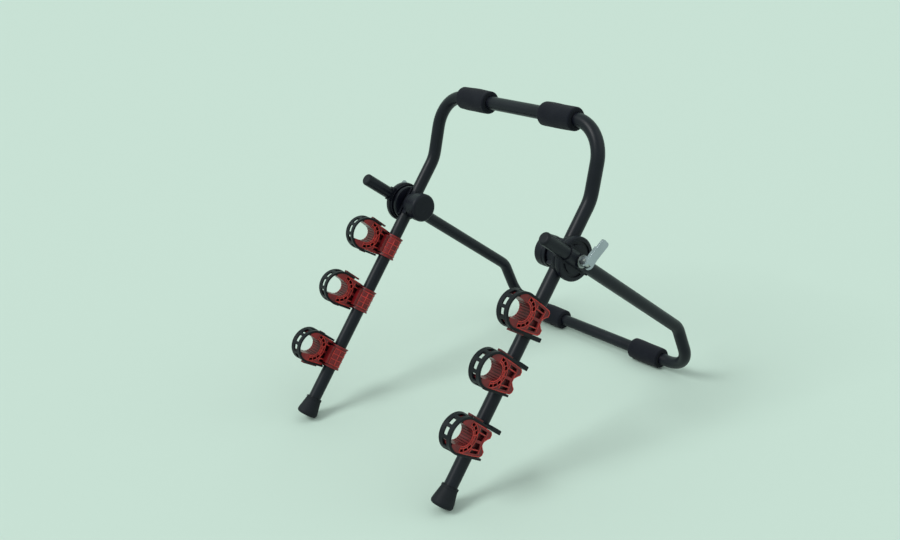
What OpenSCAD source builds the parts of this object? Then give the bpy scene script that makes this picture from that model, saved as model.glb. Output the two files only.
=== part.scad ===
// Rear bike rack: a bent main frame with six bike cradles and a folding support frame.
// Everything is drawn in leg coordinates: X across the rack, Y from the legs toward the
// support arms, Z up the legs from their capped ends. stand() then sets it on the floor.

/* [Main frame] */
// Outer width over the two legs
frame_w = 475; // [460:5:500]
// Length from the end caps to the top of the crossbar, measured along the legs
frame_len = 720; // [700:5:760]
// Outside diameter of the main tube
main_d = 25.4; // [24.8:0.2:26]
// Wall of the main tube
main_wall = 1.6; // [1.2:0.1:2.5]
// Height of the top crossbar's axis above the bend where each leg turns
upper_rise = 120.3; // [108:0.1:137]
// Angle of that bend
leg_bend_a = 23; // [18:1:26]
// Radius of that bend
leg_bend_r = 70; // [50:5:100]
// Radius of the two top corners
corner_r = 66; // [56:1:66]

/* [End caps] */
// Radius of an end cap at its foot
cap_foot_r = 21; // [19:0.5:24]
// Radius of an end cap at its lip
cap_lip_r = 16; // [15.5:0.25:17]
// Length of an end cap
cap_len = 38; // [30:1:45]
// Thickness of the floor of an end cap, under the tube's end
cap_floor = 10; // [7:0.5:14]
// Rounding of the foot of an end cap
cap_round = 6; // [4:0.5:8]

/* [Support frame] */
// Distance from a leg's axis out to the axis of the support arm beside it
arm_off = 30.2; // [29.2:0.1:35]
// Outside diameter of the support tube
support_d = 24; // [23.6:0.2:24.4]
// Wall of the support tube
support_wall = 1.5; // [1.2:0.1:2.5]
// Length of an arm from the hub to its drop bend
arm_len = 344.5; // [320:0.5:360]
// Length from the drop bend to the lower crossbar
drop_len = 115.5; // [105:0.5:130]
// Angle of the drop bend
drop_a = 30; // [24:1:36]
// Radius of the drop bend
drop_r = 42; // [36:1:60]
// Radius of the two lower corners
lower_corner_r = 59; // [40:1:60]
// Length of the left arm's stub past the hub's axis
left_stub = 102; // [80:1:106]
// Length of the right arm's stub past the hub's axis
right_stub = 88; // [80:1:106]

/* [Pads] */
// Thickness of the foam on both crossbars
foam_t = 9.8; // [8:0.2:12]
// Length of an upper pad
upper_pad_len = 82; // [70:1:82]
// Distance from the middle of the rack to the middle of an upper pad
upper_pad_x = 117.5; // [100:0.5:117.5]
// Length of a lower pad
lower_pad_len = 77; // [70:1:80]
// Distance from the middle of the rack to the middle of a lower pad
lower_pad_x = 142.5; // [120:0.5:150]
// Rounding of the pads' edges
pad_round = 1.5; // [1:0.5:4]

/* [Hubs] */
// Height of the hubs' axis above the leg ends
hub_z = 480; // [470:1:490]
// Radius of the inner knob
knob_r = 28.5; // [26:0.5:31]
// Depth of the inner knob
knob_t = 27; // [22:0.5:29]
// Radius of the inner saddle that backs a leg
saddle_r = 23; // [20:0.5:25]
// Radius of the toothed disc on a leg
leg_disc_r = 35; // [34:0.5:38.5]
// Radius of the toothed disc on an arm
arm_disc_r = 40; // [38:0.5:42]
// Depth of the arm's disc from its teeth to its outer face
arm_disc_t = 15.5; // [12:0.5:16]
// Rounding of the arm disc's outer rim
disc_round = 3; // [2:0.5:5]
// Half length of the channel that holds the arm
channel_half = 42; // [41:0.5:46]
// Wall of a channel or saddle round its tube
clamp_wall = 2; // [1.6:0.1:2.4]
// Half length of the outer saddle on an arm
outer_half = 30; // [24:1:36]
// Radius of the through bolt
bolt_r = 4; // [3.9:0.1:4.2]
// Number of teeth on each toothed face
teeth = 48; // [36:4:56]
// Height of a tooth
tooth_h = 1.3; // [1:0.1:1.4]

/* [Cam levers] */
// Radius of the cam
cam_r = 8.6; // [8:0.2:9]
// Offset of the cam's middle from its pin
cam_offset = 1; // [0.6:0.1:1.4]
// Width of the cam and its lever
cam_w = 19; // [18:0.5:21]
// Length of the lever from its pin to its tip
lever_len = 48; // [42:1:60]
// Angle by which the left lever leans from the leg toward the arm
left_lean = 22; // [0:1:45]
// Angle by which the right lever leans from the leg toward the arm
right_lean = 8; // [0:1:45]
// Angle by which the end of a lever flares away from the arm
lever_flare = 9; // [4:1:12]
// Radius of the cam pin
cam_pin_r = 2.5; // [2.2:0.1:2.8]

/* [Cradles] */
// Heights of the left cradles above the leg ends
left_cradle_z = [382, 260.5, 131]; // [125:0.5:385]
// Heights of the right cradles above the leg ends
right_cradle_z = [357, 247, 129]; // [125:0.5:385]
// Outward turn of each left cradle round its leg
left_cradle_turn = [6, 5, -3]; // [-35:1:35]
// Outward turn of each right cradle round its leg
right_cradle_turn = [-2, 0, 3]; // [-35:1:35]
// Which side the left straps are hooked on: 0 up, 1 down
left_hook = [0, 0, 1]; // [0:1]
// Which side the right straps are hooked on: 0 up, 1 down
right_hook = [1, 0, 0]; // [0:1]
// Where the left straps' hooked ends stop, measured from the leg's axis toward the seat
left_tail = [40, 41, 17]; // [-20:1:45]
// Where the right straps' hooked ends stop, measured from the leg's axis toward the seat
right_tail = [-8, -9, -18]; // [-20:1:45]
// Where the left straps' other ends stop, measured from the leg's axis toward the seat
left_end = [21, 18, 20]; // [-5:1:30]
// Where the right straps' other ends stop, measured from the leg's axis toward the seat
right_end = [22, 5, -2]; // [-5:1:30]
// Distance from the leg's axis to the middle of a cradle's seat
seat_u = 58.5; // [57:0.5:62]
// Distance from the leg's axis outward to the middle of the saddle
saddle_v = 17.5; // [17:0.5:19]
// Width of the saddle
saddle_w = 28; // [26:0.5:29]
// Radius of the seat that takes the bicycle's tube
seat_r = 16; // [15:0.5:18]
// Outer radius of the saddle round its seat
yoke_r = 30; // [29:0.1:31]
// Reach of the two prongs past the seat's middle
prong = 20; // [14:0.5:22]
// Where the lobes at the body's back start, measured from the leg's axis toward the seat
body_back = -2; // [-3:0.5:2]
// Where the notch between the two lobes ends
notch_u = 9; // [6:0.5:12]
// Length of the clip along the leg
clip_len = 47; // [40:1:48]
// Wall of the clip
clip_wall = 4.4; // [3.4:0.1:4.8]
// Width of the clip's slit
slit_w = 5; // [3:0.5:7]
// Depth of the grooves in the seat
groove_d = 1.2; // [0.8:0.1:1.6]
// Number of grooves in the seat
grooves = 9; // [7:2:11]

/* [Straps] */
// Width of a strap
strap_w = 28; // [24:0.5:29]
// Thickness of a strap
strap_t = 4; // [3.4:0.1:4.4]
// Length of a strap slot
slot_len = 13.5; // [11:0.5:14]
// Width of a strap slot
slot_w = 9.4; // [9:0.2:11]
// Distance from one slot to the next
slot_pitch = 20; // [18.5:0.5:21]
// Distance from the end of the loop's curve to the middle of the hooked slot
hook_at = 2.3; // [1.5:0.1:4]
// Length of the hook's finger
finger_len = 34; // [28:1:38]
// Length of the thick grip on a strap's hooked end, where that end passes the leg
grip_len = 26; // [18:1:30]
// How far the grip stands out from the strap
grip_rise = 3.6; // [2:0.2:5]

/* [Fits] */
// Gap between a piece and the piece that it sits on or in
fit_gap = 0.1; // [0.05:0.01:0.2]
// Radial running gap of a turning fit
run_gap = 0.07; // [0.03:0.01:0.1]
// Gap between faces that pass each other
pass_gap = 0.35; // [0.3:0.05:0.5]

/* [Hidden] */
$fn = 64;

black = [0.09, 0.09, 0.10];
charcoal = [0.22, 0.22, 0.23];
red = [0.62, 0.17, 0.19];
steel = [0.75, 0.76, 0.78];

// joints of straights and bends
bend_lap = 0.06;
bend_hair = 0.02;

// main frame
main_r = main_d / 2;
leg_x = (frame_w - main_d) / 2;
top_z = frame_len - main_r;
leg_bend_z = top_z - upper_rise;
upper_len = upper_rise / cos(leg_bend_a);
top_y = -upper_len * sin(leg_bend_a);
leg_tangent = leg_bend_r * tan(leg_bend_a / 2);

// support frame
support_r = support_d / 2;
arm_x = leg_x + arm_off;
drop_tangent = drop_r * tan(drop_a / 2);
bar_y = arm_len + drop_len * cos(drop_a);
bar_z = hub_z - drop_len * sin(drop_a);

// pads
upper_pad_r = main_r + foam_t;
lower_pad_r = support_r + foam_t;

// the floor touches the rounded feet of the caps and the undersides of the lower pads
foot_y = cap_foot_r - cap_round;
foot_z = cap_round;
foot_to_bar = norm([bar_y - foot_y, bar_z - foot_z]);
tilt = atan2(bar_z - foot_z, bar_y - foot_y)
    - asin((lower_pad_r - cap_round) / foot_to_bar);
floor_drop = cap_round + foot_y * sin(tilt) - foot_z * cos(tilt);
low_y = -foot_y * cos(tilt) + foot_z * sin(tilt) - cap_round;
high_y = bar_y * cos(tilt) + bar_z * sin(tilt) + lower_pad_r;
mid_y = (low_y + high_y) / 2;

// hubs, measured outward from the leg's axis
mid_off = arm_off / 2;
tooth_gap = tooth_h + pass_gap / 2;
arm_sleeve_r = support_r + clamp_wall;
seat_face = arm_off + arm_sleeve_r + 1.8;
washer_t = 2;
washer_r = 11.5;
boss_r = 12;
cam_off = seat_face + washer_t + cam_r + cam_offset + 0.1;
saddle_in = -main_r - 6.5;
knob_out = saddle_in - pass_gap;
knob_in = knob_out - knob_t;
nut_t = 7;
nut_r = 7.4;
nut_off = knob_out - 3;
bolt_in = nut_off - nut_t - 3;
eye_r = 6;
eye_w = 2 * bolt_r;
split = 0.3;

// cradles
clip_r = main_r + run_gap;
ring_r = clip_r + clip_wall;
strap_rest = 0.4;
strap_in = yoke_r + strap_rest;
strap_out = strap_in + strap_t;
strap_mid = strap_in + strap_t / 2;
strap_lap = 0.5;
taper = 5;
end_tab = 4;
// past this line a strap is narrower, so that it passes the leg on its outer side
pass_u = main_r + 3;
pass_v = main_r + 0.6;
loop_len = (180 + 2 * taper) * PI * strap_mid / 180;
// the first slot on the strap's other side, past the far end of the loop's curve
far_slot = ceil((loop_len + hook_at - slot_len / 2) / slot_pitch) * slot_pitch
    - hook_at - loop_len;

// set the rack on the floor, middle over the origin
module stand() {
    translate([0, -mid_y, floor_drop]) rotate([-tilt, 0, 0]) children();
}

// put a piece drawn for the right side on the side named by s, -1 left or 1 right
module side(s) {
    mirror([s < 0 ? 1 : 0, 0, 0]) children();
}

// one leg of a tube's path: a straight of a given length, or a bend of given radius,
// angle and direction; a straight runs up Z and a bend turns from Z toward its direction;
// straights lap into the bends, which are drawn thinner by a hair
module tube_piece(p, r, lap0, lap1) {
    if (p[0] == "straight") translate([0, 0, -lap0]) cylinder(h = p[1] + lap0 + lap1, r = r);
    else rotate([0, 0, p[3]]) translate([p[1], 0, 0]) rotate([90, 0, 180])
        rotate_extrude(angle = p[2]) translate([p[1], 0]) circle(r - bend_hair);
}

// move to the end of a leg of the path
module tube_step(p) {
    if (p[0] == "straight") translate([0, 0, p[1]]) children();
    else rotate([0, 0, p[3]]) translate([p[1], 0, 0]) rotate([0, p[2], 0])
        translate([-p[1], 0, 0]) rotate([0, 0, -p[3]]) children();
}

// a solid rod along a path, leg by leg
module run(path, r, i = 0) {
    if (i < len(path)) {
        tube_piece(path[i], r, i > 0 ? bend_lap : 0, i < len(path) - 1 ? bend_lap : 0);
        tube_step(path[i]) run(path, r, i + 1);
    }
}

module tube(path, r, wall) {
    difference() {
        run(path, r);
        run(path, r - wall);
    }
}

// a cylinder along X between two offsets
module x_rod(x0, x1, r) {
    translate([x0, 0, 0]) rotate([0, 90, 0]) cylinder(h = x1 - x0, r = r);
}

// a disc along X with rounded rims
module x_disc(x0, x1, r, e) {
    translate([x0, 0, 0]) rotate([0, 90, 0]) rotate_extrude() union() {
        square([r - e, x1 - x0]);
        translate([0, e]) square([r, x1 - x0 - 2 * e]);
        for (y = [e, x1 - x0 - e]) translate([r - e, y]) circle(e);
    }
}

// a hollow foam roll along X
module pad(r_in, r_out, length) {
    e = pad_round;
    rotate([0, 90, 0]) rotate_extrude() translate([0, -length / 2]) union() {
        translate([r_in, 0]) square([r_out - r_in - e, length]);
        translate([r_in, e]) square([r_out - r_in, length - 2 * e]);
        for (y = [e, length - e]) translate([r_out - e, y]) circle(e);
    }
}

module to_hub() {
    translate([leg_x, 0, hub_z]) children();
}

/* Frames */

main_path = [
    ["straight", leg_bend_z - cap_floor - leg_tangent],
    ["bend", leg_bend_r, leg_bend_a, -90],
    ["straight", upper_len - leg_tangent - corner_r],
    ["bend", corner_r, 90, 0],
    ["straight", 2 * (leg_x - corner_r)],
    ["bend", corner_r, 90, 0],
    ["straight", upper_len - leg_tangent - corner_r],
    ["bend", leg_bend_r, leg_bend_a, -90],
    ["straight", leg_bend_z - cap_floor - leg_tangent]
];

module main_frame() {
    color(black) difference() {
        translate([-leg_x, 0, cap_floor]) tube(main_path, main_r, main_wall);
        for (s = [-1, 1]) side(s) to_hub() x_rod(-20, 20, bolt_r + 0.3);
    }
}

support_path = [
    ["straight", left_stub + arm_len - drop_tangent],
    ["bend", drop_r, drop_a, 90],
    ["straight", drop_len - drop_tangent - lower_corner_r],
    ["bend", lower_corner_r, 90, 0],
    ["straight", 2 * (arm_x - lower_corner_r)],
    ["bend", lower_corner_r, 90, 0],
    ["straight", drop_len - drop_tangent - lower_corner_r],
    ["bend", drop_r, drop_a, 90],
    ["straight", right_stub + arm_len - drop_tangent]
];

module support_frame() {
    color(black) difference() {
        translate([-arm_x, -left_stub, hub_z]) rotate([-90, 0, 0])
            tube(support_path, support_r, support_wall);
        for (s = [-1, 1]) side(s) to_hub() x_rod(arm_off - 20, arm_off + 20, bolt_r + 0.4);
    }
}

/* Caps, plugs and pads */

// a flared rubber boot, its foot at Z = 0
module end_cap(s) {
    e = cap_round;
    bead = 4;
    color(black) side(s) translate([leg_x, 0, 0]) difference() {
        rotate_extrude() union() {
            square([cap_foot_r - e, e]);
            translate([cap_foot_r - e, e]) circle(e);
            polygon([
                [0, e], [cap_foot_r, e], [cap_foot_r - 0.6, e + 5],
                [cap_lip_r - 0.6, cap_len - bead], [0, cap_len - bead]
            ]);
            translate([0, cap_len - bead]) square([cap_lip_r, bead]);
        }
        translate([0, 0, cap_floor - fit_gap]) cylinder(h = cap_len, r = main_r + fit_gap);
    }
}

// a domed plug for the open end of a support tube, its face pointing to -Y
module tube_plug(dome) {
    inner = support_r - support_wall - fit_gap;
    rotate([90, 0, 0]) {
        translate([0, 0, -16]) cylinder(h = 16 + fit_gap, r = inner);
        translate([0, 0, fit_gap]) rotate_extrude() union() {
            square([support_r - dome, dome]);
            intersection() {
                translate([support_r - dome, 0]) circle(dome);
                square([support_r, dome]);
            }
        }
    }
}

module stub_plug(s, stub) {
    color(black) translate([s * arm_x, -stub, hub_z]) tube_plug(5);
}

module upper_pad(s) {
    color(charcoal) side(s) translate([upper_pad_x, top_y, top_z])
        pad(main_r + fit_gap, upper_pad_r, upper_pad_len);
}

module lower_pad(s) {
    color(charcoal) side(s) translate([lower_pad_x, bar_y, bar_z])
        pad(support_r + fit_gap, lower_pad_r, lower_pad_len);
}

/* Hubs, drawn round the crossing of the hub's axis and the leg's axis */

// ring of radial teeth whose tips reach x = tip, standing on the side named by dir
module tooth_ring(tip, dir, r) {
    base = tip - dir * (tooth_h + 0.7);
    half = 0.42 * 2 * PI * (r - 10) / teeth;
    for (i = [0 : teeth - 1]) rotate([i * 360 / teeth, 0, 0]) translate([0, 0, r - 10])
        linear_extrude(6.7) polygon([
            [base, -half], [tip - dir * tooth_h, -half], [tip, -0.4], [tip, 0.4],
            [tip - dir * tooth_h, half], [base, half]
        ]);
}

// the saddle that backs a leg on its inner side
module leg_saddle(s) {
    color(black) side(s) to_hub() difference() {
        union() {
            x_disc(saddle_in, -split - 2, saddle_r, 2);
            translate([saddle_in + 4, -main_r - 1.6, -saddle_r - 2])
                cube([-split - 2 - saddle_in - 4, 2 * main_r + 3.2, 2 * saddle_r + 4]);
        }
        translate([0, 0, -60]) cylinder(h = 120, r = main_r + fit_gap);
        x_rod(-60, 60, bolt_r + fit_gap);
    }
}

// the toothed disc that sits on the outer side of a leg
module leg_ratchet(s) {
    face = mid_off - tooth_gap;
    color(black) side(s) to_hub() difference() {
        union() {
            x_disc(face - 8, face, leg_disc_r, 2);
            translate([split, -main_r - 3.5, -leg_disc_r + 5])
                cube([face - 4 - split, 2 * main_r + 7, 2 * leg_disc_r - 10]);
            tooth_ring(mid_off - pass_gap / 2, 1, leg_disc_r);
        }
        translate([0, 0, -60]) cylinder(h = 120, r = main_r + fit_gap);
        x_rod(-60, 60, bolt_r + fit_gap);
    }
}

// the toothed disc that carries an arm in a channel across its outer face
module arm_ratchet(s) {
    face = mid_off + tooth_gap;
    color(black) side(s) to_hub() difference() {
        union() {
            x_rod(face, face + 6, arm_disc_r - 3);
            x_disc(face + 4, face + arm_disc_t, arm_disc_r, disc_round);
            translate([face + 1.5, -channel_half, -arm_sleeve_r])
                cube([arm_disc_t - 1.5, 2 * channel_half, 2 * arm_sleeve_r]);
            tooth_ring(mid_off + pass_gap / 2, -1, leg_disc_r);
        }
        translate([arm_off, 60, 0]) rotate([90, 0, 0])
            cylinder(h = 120, r = support_r + fit_gap);
        x_rod(-60, 90, bolt_r + run_gap);
        for (m = [0, 1]) mirror([0, 0, m]) disc_pocket(face + arm_disc_t);
    }
}

// a shallow crescent in the disc's face beside the channel
module disc_pocket(face) {
    translate([face - 2.5, 0, 0]) rotate([90, 0, 90]) linear_extrude(5) difference() {
        circle(arm_disc_r - 8);
        circle(arm_disc_r - 14);
        translate([-60, -60]) square([120, 60 + arm_sleeve_r + 3]);
    }
}

// the half sleeve on the outer side of an arm, with a seat for the cam's washer
module arm_saddle(s) {
    color(black) side(s) to_hub() difference() {
        union() {
            intersection() {
                translate([arm_off, outer_half, 0]) rotate([90, 0, 0]) rotate_extrude() union() {
                    square([arm_sleeve_r - 1, 2 * outer_half]);
                    translate([0, 1]) square([arm_sleeve_r, 2 * outer_half - 2]);
                }
                translate([mid_off + tooth_gap + arm_disc_t + split, -60, -60])
                    cube([60, 120, 120]);
            }
            x_rod(arm_off + 4, seat_face, boss_r);
        }
        translate([arm_off, 60, 0]) rotate([90, 0, 0])
            cylinder(h = 120, r = support_r + fit_gap);
        x_rod(-60, 90, bolt_r + run_gap);
    }
}

// the round knob on the hub's inner end, with the bolt's nut sunk in it
module hub_knob(s) {
    color(black) side(s) to_hub() difference() {
        union() {
            x_disc(knob_in, knob_out - 4, knob_r, 6);
            x_disc(knob_out - 14, knob_out, knob_r - 1.2, 2);
        }
        x_rod(bolt_in - 1, knob_out + 1, bolt_r + fit_gap);
        translate([nut_off - nut_t, 0, 0]) rotate([0, 90, 0])
            cylinder(h = knob_out - nut_off + nut_t + 1, r = nut_r, $fn = 6);
    }
}

/* Fasteners */

module hub_bolts() {
    color(steel) for (s = [-1, 1]) side(s) to_hub() difference() {
        union() {
            x_rod(bolt_in, cam_off, bolt_r);
            on_cam_pin(s) translate([0, 0, -eye_w / 2]) cylinder(h = eye_w, r = eye_r);
        }
        on_cam_pin(s) translate([0, 0, -10]) cylinder(h = 20, r = cam_pin_r + 0.03);
    }
}

function lean(s) = s < 0 ? left_lean : right_lean;

// along the cam pin's axis
module on_cam_pin(s) {
    translate([cam_off, 0, 0]) rotate([-lean(s), 0, 0]) rotate([90, 0, 0]) children();
}

module hub_nuts() {
    color(steel) for (s = [-1, 1]) side(s) to_hub() difference() {
        translate([nut_off - nut_t, 0, 0]) rotate([0, 90, 0])
            cylinder(h = nut_t, r = nut_r - fit_gap, $fn = 6);
        x_rod(nut_off - nut_t - 1, nut_off + 1, bolt_r + 0.03);
    }
}

module cam_washers() {
    color(steel) for (s = [-1, 1]) side(s) to_hub() difference() {
        x_rod(seat_face + 0.05, seat_face + washer_t, washer_r);
        x_rod(seat_face - 1, seat_face + washer_t + 1, bolt_r + 0.05);
    }
}

module cam_pins() {
    color(steel) for (s = [-1, 1]) side(s) to_hub() on_cam_pin(s)
        translate([0, 0, -cam_w / 2 - 1]) cylinder(h = cam_w + 2, r = cam_pin_r);
}

/* Cam levers, drawn with the pin along Y and the lever up Z */

module cam_lever(s) {
    arm_t = 3.4;
    arm_in = cam_r - cam_offset - arm_t;
    color(steel) side(s) to_hub() translate([cam_off, 0, 0]) rotate([-lean(s), 0, 0])
        difference() {
            union() {
                translate([-cam_offset, cam_w / 2, 0]) rotate([90, 0, 0])
                    cylinder(h = cam_w, r = cam_r);
                translate([arm_in, -cam_w / 2, 0]) cube([arm_t, cam_w, 14]);
                translate([arm_in, 0, 14]) rotate([0, lever_flare, 0]) {
                    for (y = [-cam_w / 2, cam_w / 2 - 2])
                        translate([-3, y, -0.5]) cube([4, 2, 16]);
                    translate([0, -cam_w / 2, 0]) cube([arm_t, cam_w, lever_len - 22]);
                    translate([0, 0, lever_len - 22]) {
                        translate([0, -cam_w / 2 + 5, 0]) cube([arm_t, cam_w - 10, 8]);
                        translate([0, -cam_w / 2, -1]) cube([arm_t, cam_w, 4]);
                        for (y = [-1, 1]) translate([0, y * (cam_w / 2 - 5), 3])
                            x_rod(0, arm_t, 5);
                    }
                }
                for (y = [-cam_w / 2, cam_w / 2 - 2])
                    translate([arm_in - 3, y, 0]) cube([4, 2, 14.5]);
            }
            translate([-20, -eye_w / 2 - pass_gap, -20])
                cube([20 + eye_r + 1.2, eye_w + 2 * pass_gap, 20 + eye_r + 1.5]);
            rotate([90, 0, 0]) translate([0, 0, -20]) cylinder(h = 40, r = cam_pin_r + run_gap);
        }
}

/* Cradles, drawn round the leg's axis: X out from the rack, -Y toward the seat */

// place a cradle drawn at the origin: side, height and outward turn
module at_leg(s, z, turn) {
    side(s) translate([leg_x, 0, z]) rotate([0, 0, turn]) children();
}

// draw in the plane of the saddle: first axis out from the leg, second along it
module saddle_plane(v0, v1) {
    translate([v0, 0, 0]) rotate([90, 0, 90]) mirror([1, 0, 0]) linear_extrude(v1 - v0)
        children();
}

function arc(cx, cy, r, a0, a1, n) =
    [for (i = [0 : n]) let(a = a0 + (a1 - a0) * i / n) [cx + r * cos(a), cy + r * sin(a)]];

// height of the strap's inner face over the body, at a distance u from the leg's axis
function strap_line(u) = strap_in / cos(taper) - (seat_u - u) * tan(taper);

// half of the body between the clip and the seat
module body_half() {
    polygon([
        [notch_u, 0], [notch_u, 3], [body_back + 5, 9], [body_back, 12.5], [body_back, 19.5],
        [body_back + 4, strap_line(body_back + 4) - 1.6], [20, strap_line(20) - strap_rest],
        [seat_u - yoke_r * sin(taper), yoke_r * cos(taper)], [seat_u, 0]
    ]);
}

module saddle_outline() {
    difference() {
        union() {
            translate([seat_u, 0]) circle(yoke_r, $fn = 96);
            for (m = [0, 1]) mirror([0, m]) body_half();
        }
        translate([seat_u, 0]) circle(seat_r, $fn = 96);
        polygon([
            [seat_u, -seat_r], [seat_u + 18, -seat_r - 2.6], [seat_u + 60, -seat_r - 2.6],
            [seat_u + 60, seat_r + 2.6], [seat_u + 18, seat_r + 2.6], [seat_u, seat_r]
        ]);
        translate([seat_u + prong, -60]) square([60, 120]);
        for (i = [0 : grooves - 1]) translate([seat_u, 0])
            rotate(180 + (i - (grooves - 1) / 2) * 150 / (grooves - 1))
                translate([seat_r - 1, -0.9]) square([groove_d + 1, 1.8]);
    }
}

// pockets that leave ribs on both faces of the saddle
module saddle_pockets() {
    for (m = [0, 1]) mirror([0, m]) {
        for (a = [96, 118, 140]) polygon(concat(
            arc(seat_u, 0, yoke_r - 3, a, a + 17, 4),
            arc(seat_u, 0, seat_r + 6.4, a + 17, a, 4)
        ));
        polygon([[notch_u + 6, 2.5], [33, 2.5], [34, 8], [31, 14], [notch_u + 4, 12.5]]);
        polygon([[notch_u + 3, 15], [29, 17], [31, 22.5], [notch_u + 4, 20.5]]);
    }
}

// the side of a cradle that the strap is hooked on is up when hook = 0, down when 1
module cradle(s, z, turn, hook) {
    v0 = saddle_v - saddle_w / 2;
    v1 = saddle_v + saddle_w / 2;
    color(red) at_leg(s, z, turn) mirror([0, 0, hook]) difference() {
        union() {
            translate([0, 0, -clip_len / 2]) cylinder(h = clip_len, r = ring_r);
            for (e = [-1, 1]) translate([0, 0, e * (clip_len / 2 - 1.5) - 1.5])
                cylinder(h = 3, r = ring_r + 1.4);
            translate([-8, -ring_r - 5, -clip_len / 2 + 5])
                cube([v0 + 9, ring_r + 4, clip_len - 10]);
            difference() {
                saddle_plane(v0, v1) saddle_outline();
                saddle_plane(v0 - 1, v0 + 6) saddle_pockets();
                saddle_plane(v1 - 6, v1 + 1) saddle_pockets();
            }
            strap_post(hook_at, strap_t + 0.6, finger_len, 3.4);
            mirror([0, 0, 1]) strap_post(far_slot, strap_t + 0.3, 10, 1.6);
        }
        translate([0, 0, -40]) cylinder(h = 80, r = clip_r);
        rotate([0, 0, 100]) translate([0, -slit_w / 2, -40]) cube([ring_r + 4, slit_w, 80]);
    }
}

// a post that comes out through a strap slot, and the finger that lies over the strap
module strap_post(at, lift, finger, finger_t) {
    translate([saddle_v, -seat_u, 0]) rotate([-taper, 0, 0])
        translate([0, at, yoke_r]) {
            translate([-3.4, -3, -2.5]) cube([6.8, 6, 2.5 + lift + 0.5]);
            translate([-4.4, -3.6, lift]) cube([8.8, finger, finger_t]);
        }
}

/* Straps, in the same plane as the saddle */

// a strap's two straight sides end at up_u and down_u
module strap_outline(up_u, down_u) {
    b = 200;
    difference() {
        translate([seat_u, 0]) circle(strap_out - bend_hair, $fn = 96);
        translate([seat_u, 0]) circle(strap_in + bend_hair, $fn = 96);
        translate([seat_u, 0]) polygon([
            [0, 0], [-b * sin(taper), b * cos(taper)], [-b, b], [-b, -b],
            [-b * sin(taper), -b * cos(taper)]
        ]);
    }
    strap_side(1, strap_reach(up_u));
    strap_side(-1, strap_reach(down_u));
}

function strap_reach(end_u) = (seat_u - end_u) / cos(taper);

// a straight run of strap from its tangent on the loop back toward the leg, above the
// seat when m = 1 and below it when m = -1
module strap_side(m, length) {
    translate([seat_u, 0]) rotate(180 + m * taper)
        translate([-strap_lap, m > 0 ? -strap_out : strap_in])
            square([length + strap_lap, strap_t]);
}

// how many slots a straight side takes, the first one lying at the given distance
function side_slots(first, length) =
    1 + floor((length - end_tab - first - slot_len / 2) / slot_pitch);

module strap_slots(up_u, down_u) {
    for (s = [slot_pitch - hook_at : slot_pitch : loop_len - slot_len / 2])
        translate([seat_u, 0]) rotate(90 + taper - 180 * s / (PI * strap_mid))
            translate([strap_in - 2, -slot_len / 2]) square([strap_t + 4, slot_len]);
    for (i = [0 : side_slots(hook_at, strap_reach(max(up_u, pass_u))) - 1])
        strap_slot(1, hook_at + i * slot_pitch);
    for (i = [0 : side_slots(far_slot, strap_reach(max(down_u, pass_u))) - 1])
        strap_slot(-1, far_slot + i * slot_pitch);
}

module strap_slot(m, at) {
    translate([seat_u, 0]) rotate(180 + m * taper)
        translate([at - slot_len / 2, m > 0 ? -strap_out - 2 : strap_in - 2])
            square([slot_len, strap_t + 4]);
}

// the thick end that a hand pulls, with four ribs across it
module strap_grip(v0, length) {
    saddle_plane(pass_v, v0 + strap_w) translate([seat_u, 0]) rotate(180 + taper) {
        translate([length - grip_len, -strap_out - grip_rise])
            square([grip_len, strap_t / 2 + grip_rise]);
        for (i = [0 : 3]) translate([length - 3 - i * 5, -strap_out - grip_rise])
            circle(1.2);
    }
}

// a strap's hooked end stops at tail_u and its other end at end_u
module strap(s, z, turn, hook, tail_u, end_u) {
    v0 = saddle_v - strap_w / 2;
    color(black) at_leg(s, z, turn) mirror([0, 0, hook]) difference() {
        union() {
            saddle_plane(v0, v0 + strap_w) strap_outline(tail_u, end_u);
            if (tail_u < pass_u - grip_len / 2) strap_grip(v0, strap_reach(tail_u));
        }
        saddle_plane(saddle_v - slot_w / 2, saddle_v + slot_w / 2) strap_slots(tail_u, end_u);
        translate([v0 - 1, -pass_u, -60]) cube([pass_v - v0 + 1, 100, 120]);
    }
}

stand() main_frame();
stand() end_cap(-1);  // left_end_cap
stand() end_cap(1);  // right_end_cap
stand() upper_pad(-1);  // left_upper_pad
stand() upper_pad(1);  // right_upper_pad
stand() support_frame();
stand() stub_plug(-1, left_stub);  // left_stub_plug
stand() stub_plug(1, right_stub);  // right_stub_plug
stand() lower_pad(-1);  // left_lower_pad
stand() lower_pad(1);  // right_lower_pad
stand() hub_knob(-1);  // left_hub_knob
stand() hub_knob(1);  // right_hub_knob
stand() leg_saddle(-1);  // left_leg_saddle
stand() leg_saddle(1);  // right_leg_saddle
stand() leg_ratchet(-1);  // left_leg_ratchet
stand() leg_ratchet(1);  // right_leg_ratchet
stand() arm_ratchet(-1);  // left_arm_ratchet
stand() arm_ratchet(1);  // right_arm_ratchet
stand() arm_saddle(-1);  // left_arm_saddle
stand() arm_saddle(1);  // right_arm_saddle
stand() hub_bolts();
stand() hub_nuts();
stand() cam_washers();
stand() cam_pins();
stand() cam_lever(-1);  // left_cam_lever
stand() cam_lever(1);  // right_cam_lever
stand()  // left_cradle_1
    cradle(-1, left_cradle_z[0], left_cradle_turn[0], left_hook[0]);
stand()  // left_cradle_2
    cradle(-1, left_cradle_z[1], left_cradle_turn[1], left_hook[1]);
stand()  // left_cradle_3
    cradle(-1, left_cradle_z[2], left_cradle_turn[2], left_hook[2]);
stand()  // right_cradle_1
    cradle(1, right_cradle_z[0], right_cradle_turn[0], right_hook[0]);
stand()  // right_cradle_2
    cradle(1, right_cradle_z[1], right_cradle_turn[1], right_hook[1]);
stand()  // right_cradle_3
    cradle(1, right_cradle_z[2], right_cradle_turn[2], right_hook[2]);
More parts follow.
